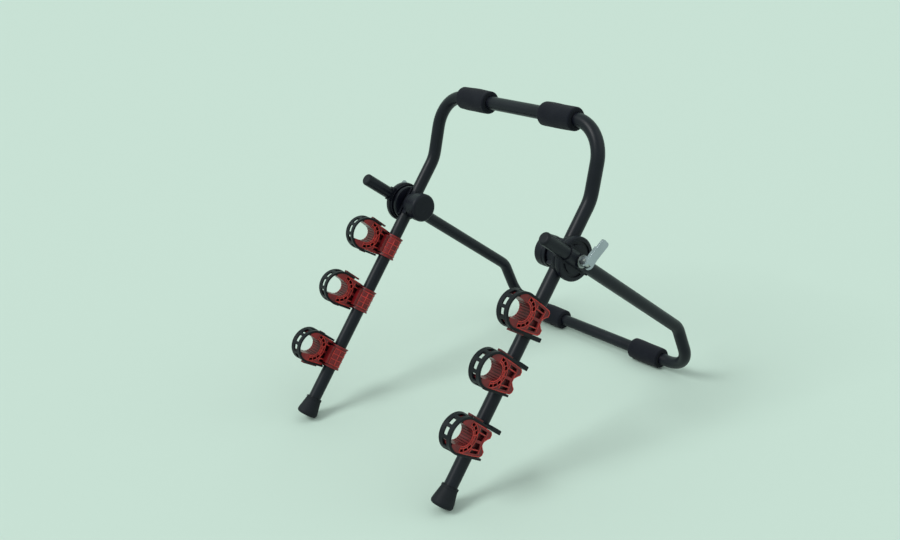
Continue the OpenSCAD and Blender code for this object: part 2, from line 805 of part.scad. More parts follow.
stand()  // left_strap_1
    strap(-1, left_cradle_z[0], left_cradle_turn[0], left_hook[0],
        left_tail[0], left_end[0]);
stand()  // left_strap_2
    strap(-1, left_cradle_z[1], left_cradle_turn[1], left_hook[1],
        left_tail[1], left_end[1]);
stand()  // left_strap_3
    strap(-1, left_cradle_z[2], left_cradle_turn[2], left_hook[2],
        left_tail[2], left_end[2]);
stand()  // right_strap_1
    strap(1, right_cradle_z[0], right_cradle_turn[0], right_hook[0],
        right_tail[0], right_end[0]);
stand()  // right_strap_2
    strap(1, right_cradle_z[1], right_cradle_turn[1], right_hook[1],
        right_tail[1], right_end[1]);
stand()  // right_strap_3
    strap(1, right_cradle_z[2], right_cradle_turn[2], right_hook[2],
        right_tail[2], right_end[2]);
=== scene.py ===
import math
import bpy
import numpy as np
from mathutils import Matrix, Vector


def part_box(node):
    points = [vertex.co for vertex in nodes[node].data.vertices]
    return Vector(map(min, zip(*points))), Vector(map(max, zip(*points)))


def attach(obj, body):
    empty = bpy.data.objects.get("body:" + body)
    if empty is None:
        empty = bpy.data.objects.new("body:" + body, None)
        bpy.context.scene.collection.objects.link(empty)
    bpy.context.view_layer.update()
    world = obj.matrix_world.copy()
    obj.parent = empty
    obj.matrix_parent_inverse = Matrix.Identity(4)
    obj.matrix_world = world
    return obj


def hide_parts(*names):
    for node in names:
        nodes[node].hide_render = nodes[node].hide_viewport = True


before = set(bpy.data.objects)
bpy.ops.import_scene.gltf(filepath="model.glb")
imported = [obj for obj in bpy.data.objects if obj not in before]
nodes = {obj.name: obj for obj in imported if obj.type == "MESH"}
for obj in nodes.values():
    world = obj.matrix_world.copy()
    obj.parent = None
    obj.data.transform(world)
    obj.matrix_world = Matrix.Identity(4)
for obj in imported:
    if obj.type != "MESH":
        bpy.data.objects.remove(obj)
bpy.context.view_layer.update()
print("frame loaded:", len(nodes), "nodes")

# leg coordinates, in millimetres: X across the rack, Y from the legs toward the arms, Z up the legs
stand = {
    "tilt": math.radians(42.587),  # lean of the legs on the floor
    "midY": 310.92,  # from the legs' lower ends to the middle of the rack's depth
    "floorDrop": 11.733,  # the legs' lower ends above the floor, at their axes
    "legX": 224.8,  # a leg's axis from the middle
}
sides = {"left": -1, "right": 1}
metre = 1000  # millimetres

# the six cradles as the photograph shows them, from the top of each leg down
cradles = {
    "perLeg": 3,
    "left": {"z": (382, 260.5, 131), "turn": (6, 5, -3), "hook": (0, 0, 1)},
    "right": {"z": (357, 247, 129), "turn": (-2, 0, 3), "hook": (1, 0, 0)},  # hook: 0 up the leg, 1 down it
}


def asPoints(*parts):
    # the parts side by side as the coordinates of points, single values repeated to fit
    return np.stack(np.broadcast_arrays(*parts), -1)


def toRow(points):
    # leg coordinates in mm to the frame in metres: a turn about X by the lean, then a shift
    p = np.asarray(points, float)
    c, s = math.cos(stand["tilt"]), math.sin(stand["tilt"])
    x, y, z = p[..., 0], p[..., 1], p[..., 2]
    rowY = y * c + z * s - stand["midY"]
    rowZ = -y * s + z * c + stand["floorDrop"]
    return np.stack([x, rowY, rowZ], -1) / metre


def colour(r, g, b):
    # an eight bit screen colour made linear: straight below 11, a power of 2.4 above
    out = [v / 255 / 12.92 if v < 11 else ((v / 255 + 0.055) / 1.055) ** 2.4 for v in (r, g, b)]
    return (*out, 1.0)


# shader node helpers
def add(tree, kind, inputs=None, **settings):
    # one node: an input that is a socket is linked, any other is the input's own value
    node = tree.nodes.new(kind)
    for name, value in settings.items():
        setattr(node, name, value)
    for name, value in (inputs or {}).items():
        if isinstance(value, bpy.types.NodeSocket):
            tree.links.new(value, node.inputs[name])
        else:
            node.inputs[name].default_value = value
    return node


def mathNode(tree, operation, a, b=0.0):
    # the operation's result for a and b
    return add(tree, "ShaderNodeMath", {0: a, 1: b}, operation=operation).outputs[0]


def rangeNode(tree, value, low, high, toLow=0.0, toHigh=1.0):
    # low to high carried in a straight line to toLow to toHigh, and held at both ends
    inputs = {"Value": value, "From Min": low, "From Max": high, "To Min": toLow, "To Max": toHigh}
    return add(tree, "ShaderNodeMapRange", inputs).outputs["Result"]


def mixColour(tree, factor, a, b):
    # a where the factor is 0, b where it is 1; the node's colour sockets go by number, as their names repeat
    mix = add(tree, "ShaderNodeMix", {0: factor, 6: a, 7: b}, data_type="RGBA")
    return mix.outputs[2]


def objectSpot(tree):
    # where a point lies on its own piece
    return add(tree, "ShaderNodeTexCoord").outputs["Object"]


def noiseNode(tree, spot, scale, detail, rough=0.5):
    # soft random values from 0 to 1, so many to the metre
    inputs = {"Vector": spot, "Scale": scale, "Detail": detail, "Roughness": rough}
    return add(tree, "ShaderNodeTexNoise", inputs).outputs["Fac"]


def newGroup(name, inputs, outputs):
    # a shader group with named number inputs and named outputs
    tree = bpy.data.node_groups.new(name, "ShaderNodeTree")
    for label, value in inputs.items():
        socket = tree.interface.new_socket(label, in_out="INPUT", socket_type="NodeSocketFloat")
        socket.default_value = value
    for label, kind in outputs.items():
        tree.interface.new_socket(label, in_out="OUTPUT", socket_type=kind)
    entry = tree.nodes.new("NodeGroupInput")
    leave = tree.nodes.new("NodeGroupOutput")
    return tree, entry.outputs, leave.inputs


# effects that several finishes share
effects = {
    "fineDetail": 3.0, "fineRough": 0.6, "coarseDetail": 4.0,
    "mottleFrom": 0.3, "mottleTo": 0.7,  # coarse noise that counts as none and as full
    "bevelRays": 4, "flatDot": 0.995, "edgeDot": 0.9,  # dot product of the two normals, off and at an edge
    "edgePatchDetail": 4.0, "edgePatchTo": 0.75,
    "faceFrom": -0.1, "faceTo": 0.95,  # upward part of the normal with no dust and with full dust
    "dustDetail": 6.0, "dustFrom": 0.35, "dustTo": 0.75,
    "speckDetail": 2.0, "speckFrom": 0.42, "speckTo": 0.66, "speckLeast": 0.5,
    "streakDetail": 8.0, "streakRough": 0.7, "streakTo": 0.78,
    "hollowRays": 6,
}


def makeGrain():
    # height = fine noise + share x coarse noise; mottle = the coarse noise, stretched
    tree, given, out = newGroup(
        "surfaceGrain", {"Scale": 900.0, "Coarse Scale": 60.0, "Coarse Share": 0.3},
        {"Height": "NodeSocketFloat", "Mottle": "NodeSocketFloat"},
    )
    spot = objectSpot(tree)
    fine = noiseNode(tree, spot, given["Scale"], effects["fineDetail"], effects["fineRough"])
    coarse = noiseNode(tree, spot, given["Coarse Scale"], effects["coarseDetail"])
    share = mathNode(tree, "MULTIPLY", coarse, given["Coarse Share"])
    tree.links.new(mathNode(tree, "ADD", fine, share), out["Height"])
    tree.links.new(rangeNode(tree, coarse, effects["mottleFrom"], effects["mottleTo"]), out["Mottle"])
    return tree


def makeEdgeWearAndHighlight():
    # mask = edge x patch: an edge is where the rounded normal leaves the flat one, and noise breaks it up;
    # it marks rubbed edges on most finishes and a painted highlight on the cradles
    tree, given, out = newGroup(
        "edgeWearAndHighlight", {"Radius": 0.0008, "Noise Scale": 140.0, "Spread": 0.5},
        {"Mask": "NodeSocketFloat", "Normal": "NodeSocketVector"},
    )
    reach = {"Radius": given["Radius"]}
    rounded = add(tree, "ShaderNodeBevel", reach, samples=effects["bevelRays"]).outputs["Normal"]
    flat = add(tree, "ShaderNodeNewGeometry").outputs["Normal"]
    dot = add(tree, "ShaderNodeVectorMath", {0: rounded, 1: flat}, operation="DOT_PRODUCT").outputs["Value"]
    edge = rangeNode(tree, dot, effects["flatDot"], effects["edgeDot"])
    noise = noiseNode(tree, objectSpot(tree), given["Noise Scale"], effects["edgePatchDetail"])
    patch = rangeNode(tree, noise, given["Spread"], effects["edgePatchTo"])
    tree.links.new(mathNode(tree, "MULTIPLY", edge, patch), out["Mask"])
    tree.links.new(rounded, out["Normal"])
    return tree


def makeDust():
    # mask = how far the face looks up x soft patches x specks x amount
    tree, given, out = newGroup(
        "settledDust", {"Scale": 18.0, "Speck Scale": 420.0, "Amount": 0.5}, {"Mask": "NodeSocketFloat"},
    )
    normal = add(tree, "ShaderNodeNewGeometry").outputs["Normal"]
    up = add(tree, "ShaderNodeSeparateXYZ", {0: normal}).outputs["Z"]
    spot = objectSpot(tree)
    patch = noiseNode(tree, spot, given["Scale"], effects["dustDetail"])
    speck = noiseNode(tree, spot, given["Speck Scale"], effects["speckDetail"])
    facing = rangeNode(tree, up, effects["faceFrom"], effects["faceTo"])
    patches = rangeNode(tree, patch, effects["dustFrom"], effects["dustTo"])
    specks = rangeNode(tree, speck, effects["speckFrom"], effects["speckTo"], effects["speckLeast"], 1.0)
    specked = mathNode(tree, "MULTIPLY", mathNode(tree, "MULTIPLY", facing, patches), specks)
    tree.links.new(mathNode(tree, "MULTIPLY", specked, given["Amount"]), out["Mask"])
    return tree


def makeScuffs():
    # mask = noise past a cut, drawn out along X, for handling marks
    tree, given, out = newGroup(
        "rubScuffs", {"Scale": 30.0, "Stretch": 0.08, "Cut": 0.62}, {"Mask": "NodeSocketFloat"},
    )
    stretch = add(tree, "ShaderNodeCombineXYZ", {0: given["Stretch"], 1: 1.0, 2: 1.0}).outputs[0]
    drawn = {0: objectSpot(tree), 1: stretch}
    along = add(tree, "ShaderNodeVectorMath", drawn, operation="MULTIPLY").outputs[0]
    streak = noiseNode(tree, along, given["Scale"], effects["streakDetail"], effects["streakRough"])
    tree.links.new(rangeNode(tree, streak, given["Cut"], effects["streakTo"]), out["Mask"])
    return tree


def makeHollows():
    # mask = how little of its near surroundings a point can see; what is closed in gets painted shade
    tree, given, out = newGroup(
        "hollowPaintedShade", {"Reach": 0.008, "Low": 0.35, "High": 0.95}, {"Mask": "NodeSocketFloat"},
    )
    reach = {"Distance": given["Reach"]}
    seen = add(tree, "ShaderNodeAmbientOcclusion", reach, samples=effects["hollowRays"]).outputs["AO"]
    tree.links.new(rangeNode(tree, seen, given["High"], given["Low"]), out["Mask"])
    return tree


shared = {
    "grain": makeGrain(), "edge": makeEdgeWearAndHighlight(), "dust": makeDust(), "scuffs": makeScuffs(),
    "hollows": makeHollows(),
}


def placeGroup(tree, name, values):
    # a shared effect in a material, with the material's own values for it
    return add(tree, "ShaderNodeGroup", values, node_tree=shared[name]).outputs


# finishes, one dictionary for each; grain is (scale, coarse scale, coarse share), edge is (radius, spread)
finishes = {
    "frame_paint": {
        "base": colour(13, 15, 27), "wornAndHighlight": colour(54, 58, 74), "dusty": colour(62, 68, 76),
        "rough": 0.36, "specular": 0.24, "grain": (520.0, 40.0, 0.25), "bump": 0.00006,
        "edge": (0.0006, 0.62), "dust": 0.25, "scuffCut": 0.66,
    },
    "hub_plastic": {
        "base": colour(12, 13, 26), "wornAndHighlight": colour(58, 62, 76), "dusty": colour(60, 66, 76),
        "rough": 0.4, "specular": 0.22, "grain": (760.0, 55.0, 0.4), "bump": 0.00012,
        "edge": (0.0009, 0.5), "dust": 0.4, "scuffCut": 0.6,
    },
    "plug_plastic": {
        "base": colour(12, 14, 24), "wornAndHighlight": colour(50, 54, 64), "dusty": colour(54, 58, 68),
        "rough": 0.5, "specular": 0.24, "grain": (800.0, 50.0, 0.3), "bump": 0.0001,
        "edge": (0.0006, 0.55), "dust": 0.3, "scuffCut": 0.64,
    },
    "cap_rubber": {
        "base": colour(12, 15, 24), "wornAndHighlight": colour(50, 56, 66), "dusty": colour(56, 60, 68),
        "rough": 0.62, "specular": 0.24, "grain": (600.0, 34.0, 0.5), "bump": 0.00014,
        "edge": (0.0008, 0.45), "dust": 0.5, "scuffCut": 0.58,
    },
    "strap_rubber": {
        "base": colour(11, 13, 22), "wornAndHighlight": colour(50, 54, 64), "dusty": colour(54, 60, 68),
        "rough": 0.48, "specular": 0.2, "grain": (700.0, 60.0, 0.4), "bump": 0.00008,
        "edge": (0.0006, 0.5), "dust": 0.35, "scuffCut": 0.62,
    },
    # the cradles' edge colour is a painted highlight on edges and scuffs, and their hollows get strong
    # painted shade
    "cradle_plastic": {
        "base": colour(140, 22, 29), "deep": colour(34, 4, 12),
        "wornAndHighlight": colour(222, 84, 70), "dusty": colour(140, 66, 62),
        "mottle": 0.75, "reach": 0.01, "paintedShade": 0.9,
        "rough": 0.34, "specular": 0.4, "grain": (640.0, 48.0, 0.5), "bump": 0.00012,
        "edge": (0.0011, 0.42), "dust": 0.3, "scuffCut": 0.6,
    },
    # the cradles' red painted lighter on the moulded ridges, a painted highlight; their edges get a still
    # lighter painted highlight and their hollows painted shade
    "cradle_ridge_highlight": {
        "base": colour(206, 52, 46), "deep": colour(84, 12, 18),
        "wornAndHighlight": colour(236, 110, 90), "dusty": colour(170, 80, 74),
        "mottle": 0.6, "reach": 0.003, "paintedShade": 0.5,
        "rough": 0.34, "specular": 0.4, "grain": (640.0, 90.0, 0.5), "bump": 0.0001,
        "edge": (0.0006, 0.42), "dust": 0.2, "scuffCut": 0.6,
    },
    "lever_chrome": {
        "base": colour(176, 180, 190), "wornAndHighlight": colour(110, 114, 122), "dusty": colour(140, 144, 146),
        "rough": 0.2, "metallic": 1.0, "grain": (260.0, 30.0, 0.6), "bump": 0.00004,
        "edge": (0.0006, 0.5), "dust": 0.2, "scuffCut": 0.6,
    },
    "zinc_steel": {
        "base": colour(190, 192, 190), "wornAndHighlight": colour(120, 120, 118), "dusty": colour(140, 142, 138),
        "rough": 0.32, "metallic": 1.0, "grain": (420.0, 60.0, 0.6), "bump": 0.00005,
        "edge": (0.0004, 0.5), "dust": 0.25, "scuffCut": 0.58,
    },
}

# what a finish has when its own dictionary doesn't say, and how much each mask counts for
usual = {
    "metallic": 0.0, "specular": 0.5, "mottle": 0.4, "reach": 0.006, "paintedShade": 0.5,
    "deepShare": 0.5,  # the deep tone as a share of the base; the mottle and the painted shade in hollows both darken toward it
    "edgeShare": 0.55, "scuffShare": 0.35,
    "mottleRough": 0.08, "dustRough": 0.35, "wearRough": 0.1,  # what full masks add to the roughness
}


def makeFinish(name, own):
    # colour = base, mottled to deep, then edges and scuffs in the edge colour, which is a painted highlight
    # on the cradles and rubbing marks elsewhere, then dust, then painted shade in hollows;
    # roughness = its own value + a share of the mottle, the dust and the edge and scuff mask
    look = {**usual, **own}
    material = bpy.data.materials.new(name)
    material.use_nodes = True
    tree = material.node_tree
    shader = tree.nodes["Principled BSDF"]
    scale, coarseScale, coarseShare = look["grain"]
    radius, spread = look["edge"]
    tooth = {"Scale": scale, "Coarse Scale": coarseScale, "Coarse Share": coarseShare}
    grain = placeGroup(tree, "grain", tooth)
    edge = placeGroup(tree, "edge", {"Radius": radius, "Spread": spread})
    dust = placeGroup(tree, "dust", {"Amount": look["dust"]})
    scuffs = placeGroup(tree, "scuffs", {"Cut": look["scuffCut"]})
    hollows = placeGroup(tree, "hollows", {"Reach": look["reach"]})
    deep = look.get("deep", tuple(v * look["deepShare"] for v in look["base"][:3]) + (1.0,))
    mottle = rangeNode(tree, grain["Mottle"], 0.0, 1.0, look["mottle"], 0.0)
    rubbed = mathNode(tree, "MULTIPLY", scuffs["Mask"], look["scuffShare"])
    # edges and scuffs toward the edge colour: rubbing marks on most finishes, a painted highlight on the
    # cradles
    wearAndHighlight = mathNode(tree, "MAXIMUM", mathNode(tree, "MULTIPLY", edge["Mask"], look["edgeShare"]), rubbed)
    # painted shade in the hollows, darkening toward the deep tone
    paintedShade = mathNode(tree, "MULTIPLY", hollows["Mask"], look["paintedShade"])
    tone = mixColour(tree, mottle, look["base"], deep)
    tone = mixColour(tree, wearAndHighlight, tone, look["wornAndHighlight"])
    tone = mixColour(tree, dust["Mask"], tone, look["dusty"])
    tone = mixColour(tree, paintedShade, tone, deep)
    tree.links.new(tone, shader.inputs["Base Color"])
    rough = look["rough"] - look["mottleRough"] / 2
    masks = ((grain["Mottle"], "mottleRough"), (dust["Mask"], "dustRough"), (wearAndHighlight, "wearRough"))
    for mask, share in masks:
        rough = mathNode(tree, "ADD", mathNode(tree, "MULTIPLY", mask, look[share]), rough)
    tree.links.new(rough, shader.inputs["Roughness"])
    relief = {"Strength": 1.0, "Distance": look["bump"], "Height": grain["Height"], "Normal": edge["Normal"]}
    tree.links.new(add(tree, "ShaderNodeBump", relief).outputs["Normal"], shader.inputs["Normal"])
    shader.inputs["Metallic"].default_value = look["metallic"]
    shader.inputs["Specular IOR Level"].default_value = look["specular"]
    return material


materials = {name: makeFinish(name, look) for name, look in finishes.items()}

foam = {
    "base": colour(15, 18, 29), "pore": colour(5, 7, 10), "dusty": colour(44, 50, 58),
    "rough": 0.86, "roughSwing": 0.06, "specular": 0.2, "sheen": 0.06, "sheenRough": 0.5,
    "poreScale": 620.0, "poreEdge": 0.5, "poreMiddle": 0.1, "poreShade": 0.7,
    "lumpScale": 46.0, "lumpDetail": 4.0, "lumpFrom": 0.2, "lumpTo": 0.8,
    "dust": 0.3, "dustScale": 26.0,
    "bump": 0.0005, "bumpStrength": 0.8, "lumpHeight": 0.8, "poreHeight": 0.4,
}


def makeFoam(look):
    # small round cells, darker toward their middles as painted shade in the pores and deeper there, over
    # slow lumps
    material = bpy.data.materials.new("pad_foam")
    material.use_nodes = True
    tree = material.node_tree
    shader = tree.nodes["Principled BSDF"]
    spot = objectSpot(tree)
    inputs = {"Vector": spot, "Scale": look["poreScale"]}
    cells = add(tree, "ShaderNodeTexVoronoi", inputs, feature="F1").outputs["Distance"]
    lumps = noiseNode(tree, spot, look["lumpScale"], look["lumpDetail"])
    pore = rangeNode(tree, cells, look["poreEdge"], look["poreMiddle"])
    dust = placeGroup(tree, "dust", {"Amount": look["dust"], "Scale": look["dustScale"]})
    # the cells' middles darkened toward the pore colour: painted shade in the pores
    tone = mixColour(tree, mathNode(tree, "MULTIPLY", pore, look["poreShade"]), look["base"], look["pore"])
    tone = mixColour(tree, dust["Mask"], tone, look["dusty"])
    tree.links.new(tone, shader.inputs["Base Color"])
    swell = mathNode(tree, "MULTIPLY", lumps, look["lumpHeight"])
    height = mathNode(tree, "SUBTRACT", swell, mathNode(tree, "MULTIPLY", pore, look["poreHeight"]))
    relief = {"Strength": look["bumpStrength"], "Distance": look["bump"], "Height": height}
    tree.links.new(add(tree, "ShaderNodeBump", relief).outputs["Normal"], shader.inputs["Normal"])
    low, high = look["rough"] - look["roughSwing"], look["rough"] + look["roughSwing"]
    rough = rangeNode(tree, lumps, look["lumpFrom"], look["lumpTo"], low, high)
    tree.links.new(rough, shader.inputs["Roughness"])
    shader.inputs["Specular IOR Level"].default_value = look["specular"]
    shader.inputs["Sheen Weight"].default_value = look["sheen"]
    shader.inputs["Sheen Roughness"].default_value = look["sheenRough"]
    return material


materials["pad_foam"] = makeFoam(foam)
print("materials:", ", ".join(sorted(materials)))

# a node of the frame takes its finish from the first of these words that its name holds
nodeFinish = {
    "frame": "frame_paint", "end_cap": "cap_rubber", "stub_plug": "plug_plastic", "cradle": "cradle_plastic",
    "lever": "lever_chrome", "knob": "hub_plastic", "saddle": "hub_plastic", "ratchet": "hub_plastic",
    "bolts": "zinc_steel", "nuts": "zinc_steel", "washers": "zinc_steel", "pins": "zinc_steel",
}
for name, item in nodes.items():
    for word, finish in nodeFinish.items():
        if word in name:
            item.data.materials.clear()
            item.data.materials.append(materials[finish])
            break
print("nodes dressed")


# mesh helpers
def makeMesh(name, points, faces, material):
    # points in metres, faces as rows of four corners
    mesh = bpy.data.meshes.new(name)
    mesh.from_pydata(points.reshape(-1, 3).tolist(), [], faces.tolist())
    mesh.validate()
    mesh.shade_smooth()
    mesh.materials.append(material)
    item = bpy.data.objects.new(name, mesh)
    bpy.context.scene.collection.objects.link(item)
    return item


def gridFaces(rows, columns, closeRows=False, closeColumns=False):
    # corners of every cell of a grid of points, wrapped round where asked
    r = np.arange(rows if closeRows else rows - 1)
    c = np.arange(columns if closeColumns else columns - 1)
    i, j = np.meshgrid(r, c, indexing="ij")
    k, m = (i + 1) % rows, (j + 1) % columns
    return np.stack([i * columns + j, i * columns + m, k * columns + m, k * columns + j], -1).reshape(-1, 4)


# foam pads, in millimetres
pads = {
    "upper": {"node": "upper_pad", "body": "main_frame", "length": 82.0, "inner": 12.8, "outer": 22.5},
    "lower": {"node": "lower_pad", "body": "support", "length": 77.0, "inner": 12.1, "outer": 21.8},
    "seamAt": math.radians(-115), "seamDepth": 1.5, "seamWidth": 1.4,
    "waves": ((2, 0.05, 1, 1.0), (3, -0.11, 2, 0.6)),  # turns round, change along, shift by side, height
    "lump": 0.35, "lumpTop": 1.2,  # the skin's swell, and the wave height at which it swells out by none
    "crown": 0.5,  # how much the ends are thinner than the middle
    "endRound": 3.2, "boreInset": 0.6,
    "around": 168, "along": 64, "rimPoints": 9, "facePoints": 5, "borePoints": 24,
}


def padProfile(pad):
    # a closed loop of (distance along, radius): skin, quarter circle rim, flat end, bore, that end mirrored
    half, e, inset = pad["length"] / 2, pads["endRound"], pads["boreInset"]
    turn = np.linspace(0, math.pi / 2, pads["rimPoints"])
    skin = asPoints(np.linspace(-half + e, half - e, pads["along"]), pad["outer"])
    rim = asPoints(half - e + e * np.sin(turn), pad["outer"] - e + e * np.cos(turn))[1:]
    face = asPoints(half, np.linspace(pad["outer"] - e, pad["inner"] + inset, pads["facePoints"])[1:])
    bore = asPoints(np.linspace(half - inset, -half + inset, pads["borePoints"]), pad["inner"])
    mirrored = np.concatenate([rim, face])[::-1] * [-1, 1]
    return np.concatenate([skin, rim, face, bore, mirrored])


def padSurface(pad, centre, side):
    # the loop carried round X: the skin swells in slow sine waves, drops to the fourth power toward the ends
    # and is pressed in along its slit by a bell curve
    loop = padProfile(pad)
    turn = np.linspace(0, 2 * math.pi, pads["around"], endpoint=False)
    a, along = np.meshgrid(turn, loop[:, 0], indexing="ij")
    radius = np.broadcast_to(loop[:, 1], a.shape)
    share = (radius - pad["inner"]) / (pad["outer"] - pad["inner"])
    wave = sum(tall * np.sin(n * a + along * rise + shift * side) for n, rise, shift, tall in pads["waves"])
    off = np.abs((a - pads["seamAt"] + math.pi) % (2 * math.pi) - math.pi) * radius
    seam = pads["seamDepth"] * np.exp(-((off / pads["seamWidth"]) ** 2))
    crown = pads["crown"] * (2 * along / pad["length"]) ** 4
    radius = radius - share * (crown + seam) + share * pads["lump"] * (wave - pads["lumpTop"])
    x, y, z = (v * metre for v in centre)
    return asPoints(x + along, y + radius * np.cos(a), z + radius * np.sin(a)) / metre


for kind in ("upper", "lower"):
    pad = pads[kind]
    for sideName, side in sides.items():
        cadNode = sideName + "_" + pad["node"]
        low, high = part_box(cadNode)
        points = padSurface(pad, (low + high) / 2, side)
        faces = gridFaces(points.shape[0], points.shape[1], True, True)
        item = makeMesh(sideName + "_" + kind + "_foam", points, faces, materials["pad_foam"])
        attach(item, pad["body"])
        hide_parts(cadNode)
print("foam pads made")

# rubber straps, in millimetres; u runs from a leg's axis toward the seat, h up the leg, v out of the rack
strap = {
    "seatU": 58.5, "middleV": 17.5, "width": 28.0, "thick": 4.0, "inner": 30.4, "taper": math.radians(5),
    "slotLength": 13.5, "slotWidth": 9.4, "pitch": 20.0, "hookAt": 2.3, "endTab": 4.0, "mostSlots": 30,
    "passU": 15.7, "passV": 13.3,  # short of passU the strap has only what lies past passV, clear of the leg
    "tail": {"left": (40, 41, 17), "right": (-8, -9, -18)},  # where the hooked ends stop
    "end": {"left": (21, 18, 20), "right": (22, 5, -2)},  # where the other ends stop
    "dish": 0.55, "raised": 1.5, "slope": 1.5,  # the middle sinks between raised edges
    "gripLength": 26.0, "gripRise": 3.6, "gripSlope": 1.5,  # the thick end that a hand pulls
    "ribHeight": 0.5, "ribFirst": 3, "ribPitch": 5, "ribsTo": 20, "ribRows": (0.5, 21, 1.25),
    "rowStep": 2.6, "columnStep": 2.2, "edgeColumn": 2,
    "bevel": 0.7, "bevelSteps": 2, "bevelOver": math.radians(50),
}
strap["middle"] = strap["inner"] + strap["thick"] / 2
strap["loop"] = (math.pi + 2 * strap["taper"]) * strap["middle"]


def strapPath(s):
    # a straight run, the loop's arc round the seat, a straight run, with the direction outward from each
    a = math.pi / 2 + strap["taper"] - np.clip(s, 0, strap["loop"]) / strap["middle"]
    out = asPoints(np.cos(a), np.sin(a))
    ahead = asPoints(np.sin(a), -np.cos(a))
    run = np.where(s < 0, s, np.maximum(s - strap["loop"], 0))
    return np.array([strap["seatU"], 0]) + strap["middle"] * out + run[..., None] * ahead, out


def runLength(u):
    # length of a straight run that stops at u: its reach over the cosine of the taper
    return (strap["seatU"] - u) / math.cos(strap["taper"])


def strapSpan(tailU, endU):
    # where a strap that stops at these two starts and ends, measured from the start of its loop
    return -runLength(tailU), strap["loop"] + runLength(endU)


def hasGrip(tailU):
    # only a hooked end that passes the leg has the thick grip
    return tailU < strap["passU"] - strap["gripLength"] / 2


def strapSlots(tailU, endU):
    # middles of the slots that fit between the two ends, all on one pitch
    start, stop = strapSpan(max(tailU, strap["passU"]), max(endU, strap["passU"]))
    spare = strap["endTab"] + strap["slotLength"] / 2
    k = np.arange(-strap["mostSlots"], strap["mostSlots"]) * strap["pitch"] - strap["hookAt"]
    return k[(k >= start + spare) & (k <= stop - spare)]


def filled(marks, step):
    # the marks in order, with even steps between them; marks that agree to 4 decimals are one
    marks = sorted(set(np.round(marks, 4)))
    parts = [np.linspace(a, b, max(1, round((b - a) / step)) + 1)[:-1] for a, b in zip(marks, marks[1:])]
    return np.append(np.concatenate(parts), marks[-1])


def strapRows(tailU, endU):
    # distances along at which the grid has a row: ends, slot edges, the leg's pass, the grip's step and ribs
    start, stop = strapSpan(tailU, endU)
    slots, half = strapSlots(tailU, endU), strap["slotLength"] / 2
    passes = [at for at in strapSpan(strap["passU"], strap["passU"]) if start < at < stop]
    marks = [start, stop, *(slots - half), *(slots + half), *passes]
    if hasGrip(tailU):
        gripEnd = start + strap["gripLength"]
        marks += [gripEnd - strap["gripSlope"], gripEnd, *(start + np.arange(*strap["ribRows"]))]
    return filled(marks, strap["rowStep"])


def strapColumns():
    # distances across: both edges, a column beside each, and the two sides of the slots
    low, high = strap["middleV"] - strap["width"] / 2, strap["middleV"] + strap["width"] / 2
    slotLow, slotHigh = strap["middleV"] - strap["slotWidth"] / 2, strap["middleV"] + strap["slotWidth"] / 2
    marks = [low, low + strap["edgeColumn"], slotLow, slotHigh, high - strap["edgeColumn"], high]
    return filled(marks, strap["columnStep"])


def strapCells(s, v, tailU, endU):
    # true for the cells that hold rubber: not in a slot, and not in the leg's way
    rows, columns = ((s[1:] + s[:-1]) / 2)[:, None], (v[1:] + v[:-1]) / 2
    atSlot = (np.abs(rows - strapSlots(tailU, endU)) < strap["slotLength"] / 2).any(1)[:, None]
    inSlot = atSlot & (np.abs(columns - strap["middleV"]) < strap["slotWidth"] / 2)
    passLow, passHigh = strapSpan(strap["passU"], strap["passU"])
    inWay = ((rows < passLow) | (rows > passHigh)) & (columns < strap["passV"])
    return ~(inSlot | inWay)


def strapTop(s, v, tailU, endU):
    # height of the upper face over the middle line: half the thickness, less the dish, plus the ribbed grip
    edge = np.minimum(v - v[0], v[-1] - v)
    dish = strap["dish"] * np.clip((edge - strap["raised"]) / strap["slope"], 0, 1)
    fromEnd = s - strapSpan(tailU, endU)[0]
    swell = np.clip((strap["gripLength"] - fromEnd) / strap["gripSlope"], 0, 1) * hasGrip(tailU)
    phase = (fromEnd - strap["ribFirst"]) * 2 * math.pi / strap["ribPitch"]
    ribs = strap["ribHeight"] * np.clip(np.cos(phase), 0, 1) * (fromEnd < strap["ribsTo"])
    rise = swell * (strap["gripRise"] + ribs)
    return strap["thick"] / 2 - dish * (1 - swell[:, None]) + rise[:, None]


def shellFaces(keep):
    # a top and an underside for each kept cell, and a wall on each side where it has no kept neighbour
    rows, columns = keep.shape
    index = np.arange(2 * (rows + 1) * (columns + 1)).reshape(2, rows + 1, columns + 1)
    corners = [index[:, :-1, :-1], index[:, 1:, :-1], index[:, 1:, 1:], index[:, :-1, 1:]]
    faces = [
        np.stack([c[0][keep] for c in corners], -1),
        np.stack([c[1][keep] for c in corners[::-1]], -1),
    ]
    padded = np.pad(keep, 1)
    walls = [((-1, 0), 3, 0), ((0, 1), 2, 3), ((1, 0), 1, 2), ((0, -1), 0, 1)]  # step to it, shared corners
    for (down, over), a, b in walls:
        bare = keep & ~padded[1 + down: 1 + down + rows, 1 + over: 1 + over + columns]
        ring = (corners[b][0], corners[a][0], corners[a][1], corners[b][1])
        faces.append(np.stack([c[bare] for c in ring], -1))
    return np.concatenate(faces)


def strapShell(tailU, endU):
    # the strip's grid at two levels, an upper face and a flat underside, walled where rubber ends
    s, v = strapRows(tailU, endU), strapColumns()
    line, out = strapPath(s)
    shells = []
    for level in (strapTop(s, v, tailU, endU), np.full((len(s), len(v)), -strap["thick"] / 2)):
        uh = line[:, None] + out[:, None] * level[..., None]
        shells.append(asPoints(uh[..., 0], uh[..., 1], v))
    faces = shellFaces(strapCells(s, v, tailU, endU))
    used, renumbered = np.unique(faces, return_inverse=True)
    return np.stack(shells).reshape(-1, 3)[used], renumbered.reshape(faces.shape)


